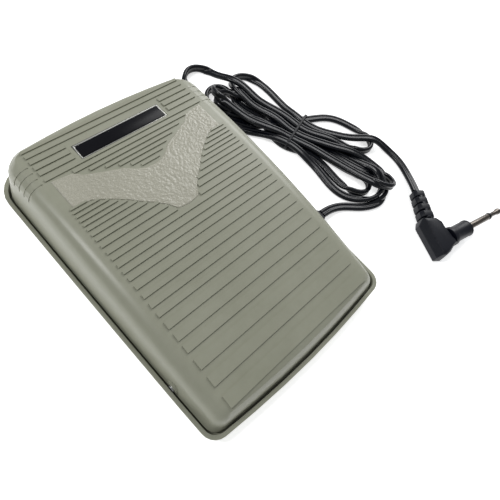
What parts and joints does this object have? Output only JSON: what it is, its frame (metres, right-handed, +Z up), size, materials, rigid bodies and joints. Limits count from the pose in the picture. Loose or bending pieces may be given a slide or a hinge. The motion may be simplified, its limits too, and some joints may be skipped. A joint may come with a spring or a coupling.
{
  "type": "foot control pedal",
  "caption": "Wedge-shaped foot control with a hinged ribbed treadle over a shallow tray, an inner switch, and a flat cord in a tied hank ending in a right-angled phone plug.",
  "frame": {"origin": "centre of the pedal's footprint at floor level, measured without the cord and what is on it", "axes": "+X across the treadle to the side the cord leaves, +Y from the shallow hinge end to the deep end that is pressed, +Z up"},
  "size_m": [0.2352, 0.2122, 0.0314],
  "materials": {
    "grey_plastic": "satin moulded",
    "dark_plastic": "satin",
    "rubber": "matt",
    "cord": "smooth",
    "steel": "plated",
    "nickel": "bright plated",
    "silver": "satin",
    "black_plate": "lacquer",
    "brass": "plain",
    "red_plastic": "smooth",
    "white_plastic": "smooth"
  },
  "bodies": {
    "base": {"tray": "grey_plastic", "foot_1": "rubber", "foot_2": "rubber", "foot_3": "rubber", "foot_4": "rubber", "hinge_pin_left": "steel", "hinge_pin_right": "steel", "return_spring_left": "steel", "return_spring_right": "steel", "stop_pad_left": "rubber", "stop_pad_right": "rubber", "switch_case": "dark_plastic", "switch_screw_front": "steel", "switch_screw_back": "steel", "terminal_common": "brass", "terminal_contact": "brass", "cord_inside": "cord", "cord_clamp": "grey_plastic", "clamp_screw_front": "steel", "clamp_screw_back": "steel", "wire_common": "white_plastic", "wire_contact": "red_plastic", "cord_gland": "rubber", "cord_exit": "cord", "cord_back_loop": "cord", "cord_side_loop": "cord", "cord_hank": "cord", "cord_tie": "dark_plastic", "cord_lead": "cord", "plug_relief": "rubber", "plug_body": "rubber", "plug_barrel": "rubber", "plug_sleeve": "nickel", "plug_insulator": "dark_plastic", "plug_tip": "nickel"},
    "pedal": {"treadle": "grey_plastic", "nameplate_frame": "silver", "nameplate": "black_plate"},
    "lever": {"switch_lever": "steel"},
    "plunger": {"switch_plunger": "red_plastic"}
  },
  "joints": [
    {"name": "treadle_hinge", "type": "hinge", "parent": "base", "child": "pedal", "pos_m": [0, -0.0547, 0.0073], "axis": [1, 0, 0], "range_deg": [-1.3, 0], "stiffness_Nm_per_rad": 20, "springref_deg": 1.15, "deforming": ["return_spring_left", "return_spring_right"]},
    {"name": "lever_hinge", "type": "hinge", "parent": "base", "child": "lever", "pos_m": [0, 0.029, 0.01775], "axis": [1, 0, 0], "range_deg": [-6.2, 0]},
    {"name": "plunger_slide", "type": "slide", "parent": "base", "child": "plunger", "axis": [0, 0, 1], "range_m": [-0.0009, 0]}
  ],
  "couplings": [
    {"joint": "lever_hinge", "follows": "treadle_hinge", "ratio": 4.64},
    {"joint": "plunger_slide", "follows": "treadle_hinge", "m_per_rad": 0.033}
  ]
}
